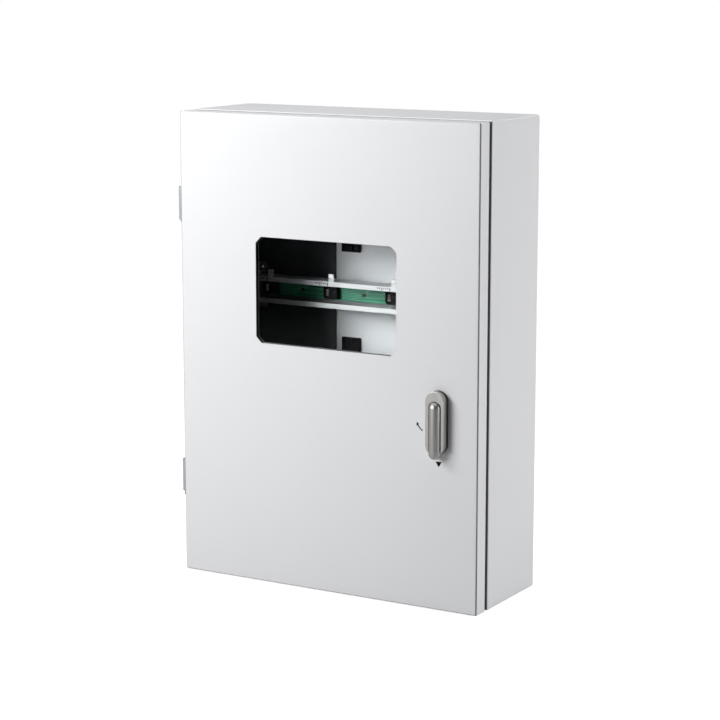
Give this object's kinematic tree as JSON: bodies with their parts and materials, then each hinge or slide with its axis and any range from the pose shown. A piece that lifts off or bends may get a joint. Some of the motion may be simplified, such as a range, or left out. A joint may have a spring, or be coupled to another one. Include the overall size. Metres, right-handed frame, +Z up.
{
  "type": "subpanel enclosure",
  "caption": "Wall-mounted sheet steel enclosure with a hinged windowed door, swing handle and inner mounting plate that carries a circuit board rail.",
  "frame": {"origin": "centre of the four wall holes, on the back face that meets the wall", "axes": "+Z up along the height, +Y out of the back into the wall, +X to the right of someone facing the door"},
  "size_m": [0.522, 0.2065, 0.7],
  "materials": {
    "enclosure_paint": "light grey semi-gloss powder coat",
    "plate_paint": "light grey powder coat",
    "rail_paint": "white semi-gloss paint",
    "zinc_steel": "bright zinc plate",
    "hinge_steel": "grey powder coat",
    "nickel_handle": "satin nickel plate",
    "black_panel": "matte black sheet",
    "black_plastic": "moulded black plastic",
    "clear_pane": "clear polycarbonate",
    "foam_seal": "dark foam",
    "rubber_seal": "matte black rubber",
    "board_green": "green solder mask",
    "board_strip": "natural insulating strip",
    "contact_metal": "pale plated contacts",
    "brass_bar": "bare brass",
    "mark_black": "screen-printed black ink"
  },
  "bodies": {
    "cabinet": {"body_shell": "enclosure_paint", "gland_gasket": "rubber_seal", "gland_plate": "plate_paint", "gland_plate_screws": "zinc_steel", "mounting_subpanel": "plate_paint", "subpanel_studs": "zinc_steel", "subpanel_spacers": "zinc_steel", "subpanel_washers": "zinc_steel", "subpanel_nuts": "zinc_steel", "insulating_panel": "black_panel", "insulating_panel_screws": "zinc_steel", "circuit_board_rail": "rail_paint", "rail_brackets": "zinc_steel", "rail_bracket_screws": "zinc_steel", "rail_screws": "zinc_steel", "board_insulator": "board_strip", "circuit_board": "board_green", "board_screws": "zinc_steel", "board_connectors": "black_plastic", "connector_contacts": "contact_metal", "upper_latch_clips": "black_plastic", "lower_latch_clips": "black_plastic", "earth_bar": "brass_bar", "earth_bar_posts": "board_strip", "earth_bar_screws": "zinc_steel", "earth_terminal_screws": "zinc_steel", "body_earth_stud": "zinc_steel", "body_earth_washer": "zinc_steel", "body_earth_nut": "zinc_steel", "hinge_body_leaves": "hinge_steel", "hinge_pins": "zinc_steel", "hinge_body_screws": "zinc_steel", "hinge_body_nuts": "zinc_steel"},
    "door": {"hinge_door_leaves": "hinge_steel", "hinge_door_screws": "zinc_steel", "hinge_door_nuts": "zinc_steel", "door_panel": "enclosure_paint", "door_gasket": "foam_seal", "window_gasket": "rubber_seal", "window_pane": "clear_pane", "window_frame": "plate_paint", "window_studs": "zinc_steel", "window_nuts": "zinc_steel", "door_earth_stud": "zinc_steel", "door_earth_washer": "zinc_steel", "door_earth_nut": "zinc_steel", "position_mark": "mark_black", "turn_arrow_mark": "mark_black", "handle_base": "black_plastic", "handle_gasket": "rubber_seal", "handle_lock_nut": "zinc_steel"},
    "handle_rotor": {"handle_rotor": "nickel_handle", "lever_pin": "zinc_steel", "latch_cam": "zinc_steel", "cam_washer": "zinc_steel", "cam_screw": "zinc_steel"},
    "handle_lever": {"handle_lever": "nickel_handle"}
  },
  "joints": [
    {"name": "door_swing", "type": "hinge", "parent": "cabinet", "child": "door", "pos_m": [-0.267, -0.158, 0], "axis": [0, 0, -1], "range_deg": [0, 180]},
    {"name": "handle_turn", "type": "hinge", "parent": "door", "child": "handle_rotor", "pos_m": [0.188, -0.19, -0.074], "axis": [0, 1, 0], "range_deg": [0, 90]},
    {"name": "lever_lift", "type": "hinge", "parent": "handle_rotor", "child": "handle_lever", "pos_m": [0.188, -0.1973, -0.0522], "axis": [-1, 0, 0], "range_deg": [0, 40]}
  ]
}
